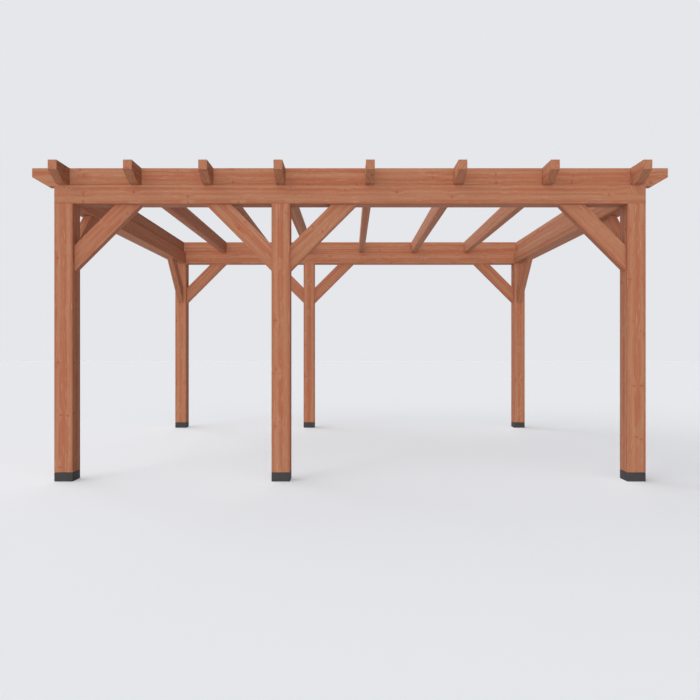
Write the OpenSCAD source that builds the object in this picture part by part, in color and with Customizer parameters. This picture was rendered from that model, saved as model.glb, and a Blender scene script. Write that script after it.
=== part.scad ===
// Open timber patio cover: six posts on stone plinths carry a ring beam with half-lapped corners,
// and rafters with cut tails lie across it. The front is -Y, and the ground is at Z = 0.

/* [Posts] */
// Side of each square post
post_w = 150; // [110:5:220]
// Length of each post, from its plinth to the ring beam
post_len = 2190; // [1700:10:2800]
// Left post to middle post, centre to centre
left_bay = 1770; // [1400:10:3000]
// Middle post to right post, centre to centre
right_bay = 2900; // [1400:10:4500]
// Front row to back row, centre to centre
row_gap = 3650; // [1400:10:5000]

/* [Plinths] */
// Height of the stone plinth under each post
plinth_h = 75; // [30:5:150]
// Bevel round the top of each plinth
plinth_bevel = 4; // [2:1:12]

/* [Ring beam] */
// Height of the ring beam, which is as wide as the posts
ring_h = 150; // [100:5:250]

/* [Rafters] */
// Thickness of each rafter
rafter_t = 70; // [45:5:100]
// Height of the rafters and of the blocking between them
rafter_h = 150; // [120:5:220]
// Spaces between rafters over the left bay
left_gaps = 3; // [1:1:6]
// Spaces between rafters over the right bay
right_gaps = 4; // [1:1:8]
// Reach of the rafters and of the beam tails past the ring beam
overhang = 200; // [170:10:500]
// Upright height left on the nose of each cut tail
nose_h = 75; // [40:5:110]
// Slope of the tail cut from the horizontal
cut_angle = 30; // [25:1:60]

/* [Blocking] */
// Thickness of the blocking between the rafters and of the beam tails
blocking_t = 70; // [45:5:100]

/* [Braces] */
// Thickness of each brace
brace_t = 70; // [45:5:100]
// Depth of each brace across its length
brace_d = 150; // [90:5:180]
// Reach of each brace along the post and along the beam
brace_leg = 545; // [350:5:600]

/* [Edges] */
// Flat planed off each long edge of the timbers
arris = 3; // [1:0.5:8]

/* [Hidden] */
timber_tint = "#b07659";
stone_tint = "#4a4848";

// Levels, from the ground up
ring_z = plinth_h + post_len;
rafter_z = ring_z + ring_h;

// Post centres and rafter centres in plan
half_width = (left_bay + right_bay) / 2;
half_depth = row_gap / 2;
post_x = [-half_width, left_bay - half_width, half_width];
row_y = [-half_depth, half_depth];
rafter_x = concat(
    [for (i = [0 : left_gaps - 1]) post_x[0] + i * left_bay / left_gaps],
    [for (i = [0 : right_gaps]) post_x[1] + i * right_bay / right_gaps]
);
last_rafter = len(rafter_x) - 1;

// Lengths of the members
ring_front_len = left_bay + right_bay + post_w;
ring_side_len = row_gap + post_w;
rafter_len = ring_side_len + 2 * overhang;
tail_len = overhang + (post_w - rafter_t) / 2;
tail_drop = rafter_h - nose_h;
brace_len = brace_leg * sqrt(2);

// How far a cutting shape runs past the face that it cuts
past = 10;

// Names of the nodes
row_names = ["front", "back"];
side_names = ["left", "right"];
post_names = ["left", "middle", "right"];
// Each row brace: its name, its post, and the way that it leans along X
row_braces = [["left", 0, 1], ["middle_left", 1, -1], ["middle_right", 1, 1], ["right", 2, -1]];

function plinth_node(row, i) = str(row_names[row], "_", post_names[i], "_plinth");
function post_node(row, i) = str(row_names[row], "_", post_names[i], "_post");
function ring_node(row) = str(row_names[row], "_ring_beam");
function side_ring_node(side) = str(side_names[side], "_ring_beam");
function rafter_node(i) = str("rafter_", i + 1);
function blocking_node(row) = str(row_names[row], "_blocking");
function tail_node(row, side) = str(row_names[row], "_", side_names[side], "_beam_tail");
function brace_node(row, i) = str(row_names[row], "_", row_braces[i][0], "_brace");
function side_brace_node(row, side) = str(side_names[side], "_side_", row_names[row], "_brace");

// Cross-section of a planed timber: a rectangle about its centre with its corners taken off
function eased_section(w, h) =
    let (x = w / 2, y = h / 2, e = arris)
    [[x - e, y], [x, y - e], [x, e - y], [x - e, -y], [e - x, -y], [-x, e - y], [-x, y - e], [e - x, y]];

// Timber that runs along +X from the origin and stands on Z = 0
module timber(length, w, h) {
    translate([0, 0, h / 2])
        rotate([90, 0, 90])
            linear_extrude(length)
                polygon(eased_section(w, h));
}

// Wedge that cuts the underside of a tail whose nose is at X = 0
module tail_cut(t) {
    slope = tan(cut_angle);
    rotate([90, 0, 0])
        translate([0, 0, -t / 2 - past])
            linear_extrude(t + 2 * past)
                polygon([
                    [-past, tail_drop + past * slope],
                    [-past, -past],
                    [(tail_drop + past) / slope, -past]
                ]);
}

// One half of a half-lap: the block taken out of a ring beam's end, from level z upwards
module lap_cut(z) {
    translate([-past, -post_w / 2 - past, z])
        cube([post_w + past, post_w + 2 * past, ring_h / 2 + past]);
}

module plinth() {
    side = plinth_bevel * sqrt(2);
    color(stone_tint)
        difference() {
            linear_extrude(plinth_h)
                polygon(eased_section(post_w, post_w));
            for (turn = [0 : 90 : 270])
                rotate(turn)
                    translate([post_w / 2, 0, plinth_h])
                        rotate([0, 45, 0])
                            cube([side, post_w + 2 * past, side], center = true);
        }
}

module post() {
    color(timber_tint)
        translate([0, 0, plinth_h])
            linear_extrude(post_len)
                polygon(eased_section(post_w, post_w));
}

// Ring beam about its middle along X; lap_z is the level from which each end is cut away
module ring_beam(length, lap_z) {
    color(timber_tint)
        translate([-length / 2, 0, ring_z])
            difference() {
                timber(length, post_w, ring_h);
                lap_cut(lap_z);
                translate([length, 0, 0])
                    mirror([1, 0, 0])
                        lap_cut(lap_z);
            }
}

// The front and back beams keep their lower half at the corners
module row_ring_beam() {
    ring_beam(ring_front_len, ring_h / 2);
}

// The side beams keep their upper half, which lies on the other beams' lower half
module side_ring_beam() {
    rotate(90)
        ring_beam(ring_side_len, -past);
}

module rafter() {
    color(timber_tint)
        rotate(90)
            translate([-rafter_len / 2, 0, rafter_z])
                difference() {
                    timber(rafter_len, rafter_t, rafter_h);
                    tail_cut(rafter_t);
                    translate([rafter_len, 0, 0])
                        mirror([1, 0, 0])
                            tail_cut(rafter_t);
                }
}

// One row of blocking: a piece in each space between two rafters
module blocking() {
    color(timber_tint)
        for (i = [0 : last_rafter - 1])
            translate([rafter_x[i] + rafter_t / 2, 0, rafter_z])
                timber(rafter_x[i + 1] - rafter_x[i] - rafter_t, blocking_t, rafter_h);
}

// Beam tail with its nose at X = 0, which butts against the outer rafter
module beam_tail() {
    color(timber_tint)
        translate([0, 0, rafter_z])
            difference() {
                timber(tail_len, blocking_t, rafter_h);
                tail_cut(blocking_t);
            }
}

// Brace at 45 degrees from a post face at X = 0 up to the ring beam's underside
module brace() {
    reach = brace_leg + brace_d;
    color(timber_tint)
        translate([0, 0, ring_z])
            difference() {
                translate([0, 0, -brace_leg])
                    rotate([0, -45, 0])
                        translate([-brace_d, 0, 0])
                            timber(brace_len + 2 * brace_d, brace_t, brace_d);
                translate([-reach, -brace_t, -2 * reach])
                    cube([reach, 2 * brace_t, 3 * reach]);
                translate([-reach, -brace_t, 0])
                    cube([3 * reach, 2 * brace_t, reach]);
            }
}

// Brace in a row, leaning along X to the way given as 1 or -1
module row_brace(way) {
    rotate(way > 0 ? 0 : 180)
        translate([post_w / 2, 0, 0])
            brace();
}

// Brace at a corner, leaning along Y towards the other row
module side_brace(row) {
    rotate(row == 0 ? 90 : -90)
        translate([post_w / 2, 0, 0])
            brace();
}

for (row = [0, 1], i = [0 : 2]) translate([post_x[i], row_y[row], 0]) {
    plinth();
    post();
}
for (row = [0, 1]) translate([0, row_y[row], 0]) {
    row_ring_beam();
    blocking();
}
for (side = [0, 1]) translate([post_x[2 * side], 0, 0])
    side_ring_beam();
for (i = [0 : last_rafter]) translate([rafter_x[i], 0, 0])
    rafter();
for (row = [0, 1], side = [0, 1]) translate([0, row_y[row], 0])
    mirror([side, 0, 0])
        translate([-half_width - post_w / 2 - overhang, 0, 0])
            beam_tail();
for (row = [0, 1], i = [0 : 3]) translate([post_x[row_braces[i][1]], row_y[row], 0])
    row_brace(row_braces[i][2]);
for (row = [0, 1], side = [0, 1]) translate([post_x[2 * side], row_y[row], 0])
    side_brace(row);
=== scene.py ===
import math
from functools import partial

import bmesh
import bpy
import numpy as np
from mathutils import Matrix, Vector


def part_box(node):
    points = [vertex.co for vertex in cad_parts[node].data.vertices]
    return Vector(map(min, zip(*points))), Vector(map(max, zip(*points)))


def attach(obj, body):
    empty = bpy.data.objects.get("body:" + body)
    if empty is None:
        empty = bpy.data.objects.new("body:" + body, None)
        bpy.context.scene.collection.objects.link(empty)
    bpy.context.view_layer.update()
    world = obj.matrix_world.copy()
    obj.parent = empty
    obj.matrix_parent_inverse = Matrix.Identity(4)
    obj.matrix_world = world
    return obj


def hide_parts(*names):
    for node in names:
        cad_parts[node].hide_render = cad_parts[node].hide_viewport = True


# Open timber patio cover: planed and stained Douglas fir on honed bluestone plinths
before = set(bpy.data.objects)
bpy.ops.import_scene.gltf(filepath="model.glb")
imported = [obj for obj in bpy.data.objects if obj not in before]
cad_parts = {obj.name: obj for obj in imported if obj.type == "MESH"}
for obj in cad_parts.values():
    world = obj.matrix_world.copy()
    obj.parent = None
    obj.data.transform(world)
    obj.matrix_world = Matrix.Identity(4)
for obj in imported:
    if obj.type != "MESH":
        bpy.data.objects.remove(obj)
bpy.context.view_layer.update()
scene = bpy.context.scene
scene.view_settings.view_transform = "Standard"
print("frame loaded:", len(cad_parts), "nodes")

mm = 0.001
axes = np.eye(3)
xAxis, yAxis, zAxis = axes
alongX, alongY, alongZ = range(3)
rowNames, sideNames, postNames = ("front", "back"), ("left", "right"), ("left", "middle", "right")


# sRGB hex to linear: each channel c is c/12.92 below 0.04045, and ((c + 0.055)/1.055)^2.4 above it
def linear(hexColour):
    srgb = np.array([int(hexColour[i:i + 2], 16) / 255 for i in (1, 3, 5)])
    rgb = np.where(srgb <= 0.04045, srgb / 12.92, ((srgb + 0.055) / 1.055) ** 2.4)
    return (*rgb.tolist(), 1.0)


# adds one node and gives back its output: ins holds values or sockets to link, other words are its settings.
# By number, Mix has factor 0, colours 6 and 7 and output 2; MapRange has value 0, from 1 and 2, to 3 and 4
def put(tree, kind, ins=None, out=0, **settings):
    node = tree.nodes.new("ShaderNode" + kind)
    for name, value in settings.items():
        setattr(node, name, value)
    for key, value in (ins or {}).items():
        if isinstance(value, bpy.types.NodeSocket):
            tree.links.new(value, node.inputs[key])
        else:
            node.inputs[key].default_value = value
    return node.outputs[out] if node.outputs else node


# an empty material, and the put function tied to its tree
def newMaterial(name):
    material = bpy.data.materials.new(name)
    material.use_nodes = True
    material.node_tree.nodes.clear()
    return material, partial(put, material.node_tree)


# Camera: level, square to the front, one-point view
cameraSet = {
    "imagePx": 700,
    "focalPx": 646.6,
    "sensor": 36.0,           # millimetres across
    "eyeHeight": 1.0718,      # metres above the ground
    "standOff": 5.267,        # metres in front of the front post faces
}


# lens = sensor width * focal length in pixels / picture width in pixels
def makeCamera(s):
    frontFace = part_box("front_left_post")[0].y
    data = bpy.data.cameras.new("view")
    data.sensor_width = s["sensor"]
    data.lens = s["sensor"] * s["focalPx"] / s["imagePx"]
    camera = bpy.data.objects.new("view", data)
    camera.location = (0, frontFace - s["standOff"], s["eyeHeight"])
    camera.rotation_euler = (math.pi / 2, 0, 0)
    scene.collection.objects.link(camera)
    scene.camera = camera


makeCamera(cameraSet)


# Light: soft lamps all round, strongest in front and on the left, a weak even sky, and the floor's bounce
lightSet = {
    # each: degrees left of straight ahead, degrees above ground, degrees across, level on a face that is
    # square to it, and if it casts a shadow. The narrow front lamp casts none: it is a fill for the back row
    "lamps": {
        "front_wide": (0, 30, 90, 0.31, True),
        "front": (0, 20, 26, 0.40, False),
        "left": (88, 38, 80, 0.59, True),
        "back": (158, 40, 60, 0.27, True),
    },
    "sky": 0.01,              # level on a face that looks straight up
    "backdrop": "#e5e7eb",
}


# one for the rays that see the backdrop: straight from the camera, mirrored or through glass
def seenRays(add):
    rays = add("LightPath").node.outputs
    first = add("Math", {0: rays["Is Camera Ray"], 1: rays["Is Glossy Ray"]}, operation="MAXIMUM")
    return add("Math", {0: first, 1: rays["Is Transmission Ray"]}, operation="MAXIMUM")


# a lamp's beam: (sin turn * cos rise, cos turn * cos rise, -sin rise), and its energy pi * level
def makeLamp(name, turn, rise, across, level, shadow):
    turn, rise = math.radians(turn), math.radians(rise)
    sun = bpy.data.lights.new(name, "SUN")
    sun.energy = level * math.pi
    sun.angle = math.radians(across)
    sun.use_shadow = shadow
    lamp = bpy.data.objects.new(name, sun)
    beam = Vector((math.sin(turn) * math.cos(rise), math.cos(turn) * math.cos(rise), -math.sin(rise)))
    lamp.rotation_euler = beam.to_track_quat("-Z", "Y").to_euler()
    scene.collection.objects.link(lamp)


# world = the backdrop's colour for the rays that see it, and the weak sky for all others
def makeWorld(s):
    world = bpy.data.worlds.new("studio")
    world.use_nodes = True
    world.node_tree.nodes.clear()
    add = partial(put, world.node_tree)
    sky = add("Background", {"Color": (1, 1, 1, 1), "Strength": s["sky"]})
    backdrop = add("Background", {"Color": linear(s["backdrop"]), "Strength": 1.0})
    add("OutputWorld", {"Surface": add("MixShader", {0: seenRays(add), 1: sky, 2: backdrop})})
    scene.world = world


for name, lamp in lightSet["lamps"].items():
    makeLamp(name, *lamp)
makeWorld(lightSet)


# Studio floor, matt and pale: it takes the shadow, and its lift brings what the eye sees near the backdrop
floorSet = {
    "colour": "#dcdee2",
    "lift": 0.243,            # what the eye sees on top of the floor's own shade
    "reach": 60.0,            # metres from the middle to each side
}


# shade = matt colour + lift * backdrop for the rays that see it, on a square that spans twice the reach
def makeFloor(s):
    material, add = newMaterial("pale_matt_floor")
    matt = add("BsdfDiffuse", {"Color": linear(s["colour"])})
    lift = add("Math", {0: seenRays(add), 1: s["lift"]}, operation="MULTIPLY")
    glow = add("Emission", {"Color": linear(lightSet["backdrop"]), "Strength": lift})
    add("OutputMaterial", {"Surface": add("AddShader", {0: matt, 1: glow})})
    mesh = bpy.data.meshes.new("floor")
    edge = np.array([(-1, -1, 0), (1, -1, 0), (1, 1, 0), (-1, 1, 0)]) * s["reach"]
    mesh.from_pydata(edge.tolist(), [], [(0, 1, 2, 3)])
    mesh.materials.append(material)
    floor = bpy.data.objects.new("floor", mesh)
    scene.collection.objects.link(floor)


makeFloor(floorSet)
print("camera, light and floor made")


# Douglas fir, planed and stained red-brown: bands of red and tan that follow the growth rings, drawn out
# along the faces and closed into arcs on the ends, with pale dashes, knots in whorls, and hardly any sheen
timberSet = {
    "red": "#aa6246", "tan": "#b38061", "late": "#a35c40", "pale": "#c09679", "knot": "#a04f36",
    "ringGap": 13 * mm,       # real rings are 2 to 4 mm: drawn wider, to show at this distance
    "ringRamp": (0.10, 0.85),  # part of a ring's width over which it turns red
    "faintRing": 0.3,         # strength of the faintest ring
    "zoneGap": 16 * mm,       # width of a run of red years, or of tan ones
    "zoneShift": 8.5,         # puts a red run in the middle of a post's faces
    "zoneRamp": (0.40, 0.62),
    "wander": 18 * mm,        # span over which a ring strays from a true circle
    "noises": {               # size along the grain, size across it, detail
        "stray": (1500 * mm, 140 * mm, 2.0),
        "streak": (900 * mm, 20 * mm, 3.0),
        "line": (380 * mm, 4.5 * mm, 2.0),
        "dash": (110 * mm, 8 * mm, 2.0),
        "mark": (34 * mm, 13 * mm, 2.0),
        "fibre": (60 * mm, 1.6 * mm, 2.0),
    },
    "noiseRoughness": 0.55,
    # values of each noise between which its tone sets in
    "ramps": {"streak": (0.38, 0.62), "line": (0.45, 0.70), "dash": (0.58, 0.72), "mark": (0.56, 0.74),
              "fibre": (0.46, 0.66)},
    "knotCell": (430 * mm, 58 * mm, 58 * mm),     # from whorl to whorl, and room for a knot across the grain
    "knotStray": 0.08,        # how far a knot strays from its whorl, as a part of the way to the next
    "knotSize": (12 * mm, 20 * mm, 20 * mm),
    "knotRamp": (0.75, 1.5),  # parts of its size between which a knot fades
    "knotUneven": 0.8,        # how far the marks roughen a knot's edge
    "swellSize": (100 * mm, 36 * mm, 36 * mm),    # where a knot pushes the rings aside
    "swell": 10.4 * mm,       # how far it pushes them
    # tones laid over the tan in turn, each with its shade; the last is worn stain and a painted highlight on
    # edges
    "layers": (("band", "red"), ("line", "late"), ("fibre", "late"), ("mark", "late"), ("dash", "pale"),
               ("knot", "knot"), ("wearAndHighlight", "pale")),
    # how strongly each tone shows: on every surface, and on each kind of surface
    "shares": {"band": 1.0, "fibre": 0.22, "mark": 0.40, "dash": 0.55, "knot": 0.65},
    "surfaces": {
        "douglas_planed_stained": {"zone": 0.50, "streak": 0.34, "ring": 0.12, "line": 0.15, "wearAndHighlight": 0.0},
        "douglas_sawn_end": {"zone": 0.40, "streak": 0.0, "ring": 0.60, "line": 0.0, "wearAndHighlight": 0.0},
        # the eased arrises are paler: worn stain, and a painted highlight along the edges
        "douglas_eased_arris": {"zone": 0.50, "streak": 0.34, "ring": 0.12, "line": 0.0, "wearAndHighlight": 0.25},
    },
    "roughness": 0.72, "roughSpread": 0.16, "specular": 0.16,
    "bumpHeight": 0.4 * mm, "bumpStrength": 0.3,
    "ringRelief": 0.5,        # height of the rings, where the fibres' height is one
}


# every noise, read at the grain coordinates in units of its own size
def grainNoises(add, grain, s):
    pattern = {}
    for key, (along, across, detail) in s["noises"].items():
        scaled = add("VectorMath", {0: grain, 1: (1 / along, 1 / across, 1 / across)}, operation="MULTIPLY")
        pattern[key] = add("TexNoise", {"Vector": scaled, "Scale": 1.0, "Detail": detail,
                                        "Roughness": s["noiseRoughness"]})
    return pattern


# knots: flat balls, short along the grain and wide across it. They lie in whorls along the bar, each at the
# middle of a cell, and across it at the points of a random pattern. near = distance from the centre in units
# of a size: the knot fades with near + uneven noise, and the swell with near
def knotFields(add, grain, uneven, s):
    cellSize = np.array(s["knotCell"])
    cell = add("VectorMath", {0: grain, 1: 1 / cellSize}, operation="MULTIPLY")
    number = add("VectorMath", {0: cell}, operation="FLOOR")
    whorl = add("VectorMath", {0: number, 1: (1, 0, 0), 2: (0.5, 0, 0)}, operation="MULTIPLY_ADD")
    spot = add("VectorMath", {0: cell, 1: (0, 1, 1), 2: whorl}, operation="MULTIPLY_ADD")
    point = add("TexVoronoi", {"Vector": spot, "Scale": 1.0}, out="Position")
    stray = s["knotStray"]
    held = add("VectorMath", {0: whorl, 1: (1 - stray, 0, 0)}, operation="MULTIPLY")
    centre = add("VectorMath", {0: point, 1: (stray, 1, 1), 2: held}, operation="MULTIPLY_ADD")
    away = add("VectorMath", {0: cell, 1: centre}, operation="SUBTRACT")
    near = {}
    for key in ("knotSize", "swellSize"):
        scaled = add("VectorMath", {0: away, 1: cellSize / np.array(s[key])}, operation="MULTIPLY")
        near[key] = add("VectorMath", {0: scaled}, out="Value", operation="LENGTH")
    edge = add("Math", {0: uneven, 1: s["knotUneven"], 2: near["knotSize"]}, operation="MULTIPLY_ADD")
    full, gone = s["knotRamp"]
    knot = add("MapRange", {0: edge, 1: full, 2: gone, 3: 1.0, 4: 0.0}, interpolation_type="SMOOTHSTEP")
    swell = add("MapRange", {0: near["swellSize"], 1: 0.0, 2: 1.0, 3: s["swell"], 4: 0.0},
                interpolation_type="SMOOTHSTEP")
    return knot, swell


# growth rings, where d = distance from the heart + stray + swell: ring = ramped fraction of d / ring gap,
# times a strength of its own; zone, a run of red years = ramped slow noise of d / zone gap + shift
def ringFields(add, grain, stray, swell, s):
    flat = add("VectorMath", {0: grain, 1: (0, 1, 1)}, operation="MULTIPLY")
    heart = add("VectorMath", {0: flat}, out="Value", operation="LENGTH")
    strayed = add("Math", {0: stray, 1: s["wander"], 2: heart}, operation="MULTIPLY_ADD")
    d = add("Math", {0: strayed, 1: swell}, operation="ADD")
    turn = add("Math", {0: d, 1: s["ringGap"]}, operation="DIVIDE")
    within = add("Math", {0: turn}, operation="FRACT")
    low, high = s["ringRamp"]
    late = add("MapRange", {0: within, 1: low, 2: high}, interpolation_type="SMOOTHSTEP")
    year = add("Math", {0: turn}, operation="FLOOR")
    chance = add("TexWhiteNoise", {"W": year}, noise_dimensions="1D")
    strength = add("MapRange", {0: chance, 3: s["faintRing"], 4: 1.0})
    ring = add("Math", {0: late, 1: strength}, operation="MULTIPLY")
    years = add("Math", {0: d, 1: 1 / s["zoneGap"], 2: s["zoneShift"]}, operation="MULTIPLY_ADD")
    slow = add("TexNoise", {"W": years, "Scale": 1.0, "Detail": 0.0}, noise_dimensions="1D")
    low, high = s["zoneRamp"]
    zone = add("MapRange", {0: slow, 1: low, 2: high}, interpolation_type="SMOOTHSTEP")
    return ring, zone


# colour = tan, with each layer's shade mixed over it by tone * share; the band's tone is the sum of zone,
# streak and ring, each times its share
def makeTimber(name, s):
    material, add = newMaterial(name)
    share = {**s["shares"], **s["surfaces"][name]}
    grain = add("Attribute", out="Vector", attribute_name="grain")
    pattern = grainNoises(add, grain, s)
    tone = {key: add("MapRange", {0: pattern[key], 1: low, 2: high}, interpolation_type="SMOOTHSTEP")
            for key, (low, high) in s["ramps"].items()}
    tone["knot"], swell = knotFields(add, grain, pattern["mark"], s)
    tone["ring"], tone["zone"] = ringFields(add, grain, pattern["stray"], swell, s)
    # worn stain and a painted highlight on the eased edges: the fine fibre noise lays pale over them
    tone["wearAndHighlight"] = pattern["fibre"]
    tone["band"] = add("Math", {0: tone["zone"], 1: share["zone"]}, operation="MULTIPLY")
    for key in ("streak", "ring"):
        tone["band"] = add("Math", {0: tone[key], 1: share[key], 2: tone["band"]}, operation="MULTIPLY_ADD",
                           use_clamp=True)

    colour = linear(s["tan"])
    for key, shade in s["layers"]:
        if share[key]:
            amount = add("Math", {0: tone[key], 1: share[key]}, operation="MULTIPLY")
            colour = add("Mix", {0: amount, 6: colour, 7: linear(s[shade])}, out=2, data_type="RGBA")

    smoothest = s["roughness"] - s["roughSpread"] / 2
    rough = add("Math", {0: pattern["fibre"], 1: s["roughSpread"], 2: smoothest}, operation="MULTIPLY_ADD")
    relief = add("Math", {0: tone["ring"], 1: s["ringRelief"], 2: pattern["fibre"]}, operation="MULTIPLY_ADD")
    bump = add("Bump", {"Height": relief, "Strength": s["bumpStrength"], "Distance": s["bumpHeight"]})
    wood = add("BsdfPrincipled", {"Base Color": colour, "Roughness": rough,
                                  "Specular IOR Level": s["specular"], "Normal": bump})
    add("OutputMaterial", {"Surface": wood})
    return material


# Bluestone, sawn and honed: an almost black even grey with fine paler grit and no gloss
stoneSet = {
    "ground": "#484646", "grit": "#535151", "deep": "#3c3b3b",
    "gritSize": 2.5 * mm, "gritDetail": 2.0,
    "gritRamp": (0.55, 0.75),  # values of the fine noise between which grit shows
    "cloudSize": 60 * mm, "cloudDetail": 3.0,
    "roughness": 0.62, "specular": 0.12,
    "bumpHeight": 0.3 * mm, "bumpStrength": 0.25,
}


# colour = deep to ground by a slow cloud, with grit where the fine noise is high
def makeStone(name, s):
    material, add = newMaterial(name)
    place = add("TexCoord", out="Object")
    cloud = add("TexNoise", {"Vector": place, "Scale": 1 / s["cloudSize"], "Detail": s["cloudDetail"]})
    grit = add("TexNoise", {"Vector": place, "Scale": 1 / s["gritSize"], "Detail": s["gritDetail"]})
    low, high = s["gritRamp"]
    fleck = add("MapRange", {0: grit, 1: low, 2: high})
    base = add("Mix", {0: cloud, 6: linear(s["deep"]), 7: linear(s["ground"])}, out=2, data_type="RGBA")
    colour = add("Mix", {0: fleck, 6: base, 7: linear(s["grit"])}, out=2, data_type="RGBA")
    bump = add("Bump", {"Height": grit, "Strength": s["bumpStrength"], "Distance": s["bumpHeight"]})
    stone = add("BsdfPrincipled", {"Base Color": colour, "Roughness": s["roughness"],
                                   "Specular IOR Level": s["specular"], "Normal": bump})
    add("OutputMaterial", {"Surface": stone})
    return material


timberFaces = [makeTimber(name, timberSet) for name in timberSet["surfaces"]]     # planed, sawn, eased
honedStone = makeStone("bluestone_honed", stoneSet)
print("materials made")


# Timbers: the section of a planed bar carried along its length
barSet = {
    "arris": 3 * mm,          # radius of the eased long edges
    "arcSteps": 4,
    "endEase": 1.2 * mm,      # edge taken off round an end that shows
    "sharpAngle": 26.0,       # degrees past which an edge is shaded sharp
    "weld": 0.001 * mm,       # points and stops nearer than this are one
    "grainShift": 60.0,       # metres along the grain over which the bars are spread
    "seed": 7,
}
planedFace, sawnFace, easedFace = range(3)     # order of timberFaces
rng = np.random.default_rng(barSet["seed"])

# where the heart of the log lies off a bar's middle, sideways and up or down, each between two limits
boxedHeart = ((0 * mm, 2 * mm), (0 * mm, 2 * mm))
sideHeart = ((120 * mm, 260 * mm), (60 * mm, 150 * mm))


# outline of the section, as rows from the bottom up: each row has a height z and a half width y.
# round the arris z = r - r cos a and y = w/2 - r + r sin a, with a from 0 to 90 degrees
def sectionRows(width, height, levels):
    r = barSet["arris"]
    a = np.linspace(0, math.pi / 2, barSet["arcSteps"] + 1)
    rise, half = r - r * np.cos(a), width / 2 - r + r * np.sin(a)
    mid = np.unique(levels)
    mid = mid[(mid > r) & (mid < height - r)]
    z = np.concatenate((rise, mid, height - rise[::-1]))
    y = np.concatenate((half, np.full(len(mid), width / 2), half[::-1]))
    arc = np.full(len(rise) - 1, True)
    rounded = np.concatenate((arc, np.full(len(mid) + 1, False), arc))
    return z, y, rounded


# one stop along a bar: the section there is clipped to the heights from low to high and drawn in by inset,
# and each of its points lies at x + lean * max(0, level - z), so that a cut can slope with height
def stop(x, low, high, lean=0.0, level=0.0, inset=0.0):
    return x, low, high, lean, level, inset


# one closed bar: the rows of each stop, mirrored into a ring, joined stop to stop and capped at both ends
def carryBar(width, height, stops):
    x, low, high, lean, level, inset = np.array(stops).T[:, :, None]     # columns, with a row for each stop
    z, y, rounded = sectionRows(width, height, (low, high, level))
    zs = np.clip(z, low, high)
    ys = np.where(zs == z, y, width / 2) * (1 - 2 * inset / width)
    zs = zs + inset * (1 - 2 * zs / height)
    right = np.stack((x + lean * np.maximum(0, level - zs), ys, zs), axis=-1)
    points = np.concatenate((right, (right * (1, -1, 1))[:, ::-1]), axis=1)
    count, around = points.shape[:2]
    k = np.arange(around)
    i = np.arange(count - 1)[:, None] * around
    skin = np.stack((i + k, i + around + k, i + around + (k + 1) % around, i + (k + 1) % around), axis=-1)
    shoulder = np.abs(np.diff(x, axis=0)) < barSet["weld"]
    drawnIn = np.diff(inset, axis=0) != 0
    eased = np.concatenate((rounded, [False], rounded[::-1], [False]))
    kind = np.where(shoulder, sawnFace, np.where(eased | drawnIn, easedFace, planedFace))
    j = np.arange(around // 2 - 1)
    cap = np.stack((j, j + 1, around - 2 - j, around - 1 - j), axis=-1)
    faces = np.concatenate((skin.reshape(-1, 4), cap, cap + (count - 1) * around))
    kinds = np.concatenate((kind.ravel(), np.full(2 * len(cap), sawnFace)))
    return points.reshape(-1, 3), faces, kinds


# place in the world: point = origin + x along + y across + z up
def placed(local, origin, along, across, up):
    return np.asarray(origin) + local @ np.stack((along, across, up))


# grain coordinates: the bar's own x, shifted so that no two bars match, and y, z measured from its heart
def grainOf(local, height, heart):
    side, up = (rng.uniform(*limits) * rng.choice((-1, 1)) for limits in heart)
    return local + np.array((rng.uniform(0, barSet["grainShift"]), side, up - height / 2))


# one timber, as its points, faces, kind of each face and grain: a bar carried in its own axes and then placed
def timberSolid(width, height, stops, origin, directions, heart):
    points, faces, kinds = carryBar(width, height, stops)
    return placed(points, origin, *directions), faces, kinds, grainOf(points, height, heart)


# joins solids of (points, faces, material of each face, grain) into one mesh, welds it and turns it outwards
def meshPiece(name, solids, materials):
    points, faces, kinds, grains = (list(part) for part in zip(*solids))
    starts = np.cumsum([0] + [len(p) for p in points[:-1]])
    mesh = bpy.data.meshes.new(name)
    mesh.from_pydata(np.concatenate(points).tolist(), [],
                     np.concatenate([f + start for f, start in zip(faces, starts)]).tolist())
    for material in materials:
        mesh.materials.append(material)
    mesh.polygons.foreach_set("material_index", np.concatenate(kinds).astype(np.int32))
    layer = mesh.attributes.new("grain", "FLOAT_VECTOR", "POINT")
    layer.data.foreach_set("vector", np.concatenate(grains).astype(np.float32).ravel())
    work = bmesh.new()
    work.from_mesh(mesh)
    bmesh.ops.remove_doubles(work, verts=work.verts, dist=barSet["weld"])
    bmesh.ops.recalc_face_normals(work, faces=work.faces)
    work.to_mesh(mesh)
    work.free()
    mesh.shade_smooth()
    mesh.set_sharp_from_angle(angle=math.radians(barSet["sharpAngle"]))
    piece = bpy.data.objects.new(name, mesh)
    scene.collection.objects.link(piece)
    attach(piece, "root")
    return piece


# a CAD node's visible timber, which takes its place
def timberPiece(node, solids):
    piece = meshPiece(node + "_timber", solids, timberFaces)
    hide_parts(node)


# low and high corner of a node's box
def corners(node):
    low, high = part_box(node)
    return np.array(low), np.array(high)


# straight bar along one axis that fills the box from low to high: length, width and height are the box's
# sides, and stopsOf gives the stops from length and height
def axisBar(low, high, axis, stopsOf, heart):
    across, up = ((yAxis, zAxis), (xAxis, zAxis), (xAxis, yAxis))[axis]
    directions = (axes[axis], across, up)
    length, width, height = np.stack(directions) @ (high - low)
    origin = low + across * width / 2
    return timberSolid(width, height, stopsOf(length, height), origin, directions, heart)


# square ends: the whole section from 0 to the length
def squareStops(length, height):
    return [stop(0, 0, height), stop(length, 0, height)]


# Posts: square timbers with the heart in the middle
postSet = {"heart": boxedHeart}

for row in rowNames:
    for post in postNames:
        node = f"{row}_{post}_post"
        timberPiece(node, [axisBar(*corners(node), alongZ, squareStops, postSet["heart"])])
print("posts made")


# Ring beam: four timbers cut from the side of the log, half-lapped at the corners
ringSet = {"heart": sideHeart}


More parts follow.
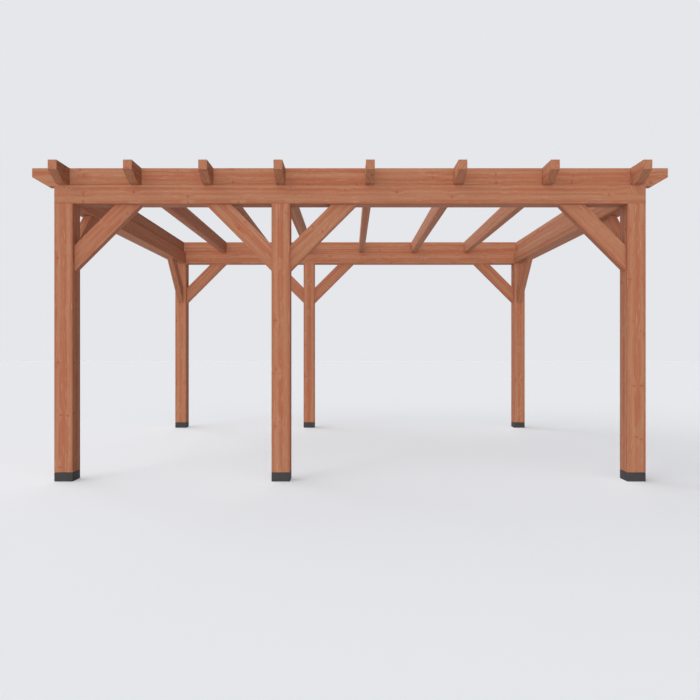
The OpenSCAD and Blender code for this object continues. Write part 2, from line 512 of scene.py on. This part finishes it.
# the section is square: over one height at each end only its lower or its upper half is left
def lapStops(length, height, half):
    low, high = {"lower": (0, height / 2), "upper": (height / 2, height)}[half]
    ease = barSet["endEase"]
    first = [stop(0, low, high, inset=ease), stop(ease, low, high)]
    first += [stop(height, low, high), stop(height, 0, height)]
    last = [stop(length - x, a, b, inset=inset) for x, a, b, _, _, inset in first[::-1]]
    return first + last


for names, axis, half in ((rowNames, alongX, "lower"), (sideNames, alongY, "upper")):
    lapped = partial(lapStops, half=half)
    for name in names:
        node = name + "_ring_beam"
        timberPiece(node, [axisBar(*corners(node), axis, lapped, ringSet["heart"])])
print("ring beam made")


# Rafters and beam tails: each tail has an upright nose, and below it the cut slopes back under the bar
tailSet = {
    "noseHeight": 75 * mm,
    "cutSlope": 30.0,         # degrees from level
    "heart": sideHeart,
}


# the cut moves points by (level - z) / tan slope below the nose; cuts tells which ends have it
def tailStops(length, height, cuts):
    lean = 1 / math.tan(math.radians(tailSet["cutSlope"]))
    level, ease = height - tailSet["noseHeight"], barSet["endEase"]
    first, last = squareStops(length, height)
    firstCut = [stop(0, 0, height, lean, level, ease), stop(ease, 0, height, lean, level)]
    lastCut = [stop(length - ease, 0, height, -lean, level), stop(length, 0, height, -lean, level, ease)]
    return (firstCut if cuts[0] else [first]) + (lastCut if cuts[1] else [last])


rafterCount = sum(name.startswith("rafter_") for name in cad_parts)
rafters = [f"rafter_{i + 1}" for i in range(rafterCount)]
bothCut = partial(tailStops, cuts=(True, True))
outerCut = {"left": partial(tailStops, cuts=(True, False)), "right": partial(tailStops, cuts=(False, True))}
for node in rafters:
    timberPiece(node, [axisBar(*corners(node), alongY, bothCut, tailSet["heart"])])
for row in rowNames:
    for side in sideNames:
        node = f"{row}_{side}_beam_tail"
        timberPiece(node, [axisBar(*corners(node), alongX, outerCut[side], tailSet["heart"])])
print("rafters and beam tails made")


# Blocking: one square-ended piece in each space between two rafters
blockingSet = {"heart": sideHeart}

for row in rowNames:
    node = f"{row}_blocking"
    solids = []
    for first, second in zip(rafters[:-1], rafters[1:]):
        low, high = corners(node)
        low[0] = corners(first)[1][0]       # right face of one rafter
        high[0] = corners(second)[0][0]     # left face of the next
        solids.append(axisBar(low, high, alongX, squareStops, blockingSet["heart"]))
    timberPiece(node, solids)
print("blocking made")


# Braces: bars at 45 degrees, from a post's face up to the ring beam
braceSet = {"depth": 150 * mm, "heart": sideHeart}


# both ends cut back with height at one to one, so that the lower edge is the longest
def braceStops(length, depth):
    return [stop(depth, 0, depth, -1.0, depth), stop(length - depth, 0, depth, 1.0, depth)]


# way is the direction in which the brace leans: its foot is half a leg back and half a leg down from the
# middle of its box, it runs along (way + z) / sqrt 2, and its depth is along (z - way) / sqrt 2
def bracePiece(node, way, s):
    low, high = corners(node)
    leg, depth = high[2] - low[2], s["depth"]
    across = np.cross(zAxis, way)
    foot = (low + high) / 2 - (way + zAxis) * leg / 2
    directions = ((way + zAxis) / math.sqrt(2), across, (zAxis - way) / math.sqrt(2))
    width = np.abs((high - low) @ across)
    stops = braceStops(leg * math.sqrt(2), depth)
    timberPiece(node, [timberSolid(width, depth, stops, foot, directions, s["heart"])])


rowBraces = {"left": xAxis, "middle_left": -xAxis, "middle_right": xAxis, "right": -xAxis}
for row, inward in zip(rowNames, (yAxis, -yAxis)):
    for name, way in rowBraces.items():
        bracePiece(f"{row}_{name}_brace", way, braceSet)
    for side in sideNames:
        bracePiece(f"{side}_side_{row}_brace", inward, braceSet)
print("braces made")


# Plinths: the post's section carried up, drawn in at the top by its bevel
plinthSet = {"bevel": 4 * mm}


# the section stands on the ground at x = 0 of its own bar, and the last stop is drawn in by the bevel
def plinthPiece(node, s):
    low, high = corners(node)
    width, tall = high[0] - low[0], high[2] - low[2]
    stops = [stop(0, 0, width), stop(tall - s["bevel"], 0, width), stop(tall, 0, width, inset=s["bevel"])]
    local, faces, kinds = carryBar(width, width, stops)
    points = placed(local, low + xAxis * width / 2, zAxis, xAxis, yAxis)
    piece = meshPiece(node + "_stone", [(points, faces, np.zeros_like(kinds), local)], [honedStone])
    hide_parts(node)


for row in rowNames:
    for post in postNames:
        plinthPiece(f"{row}_{post}_plinth", plinthSet)
print("plinths made")
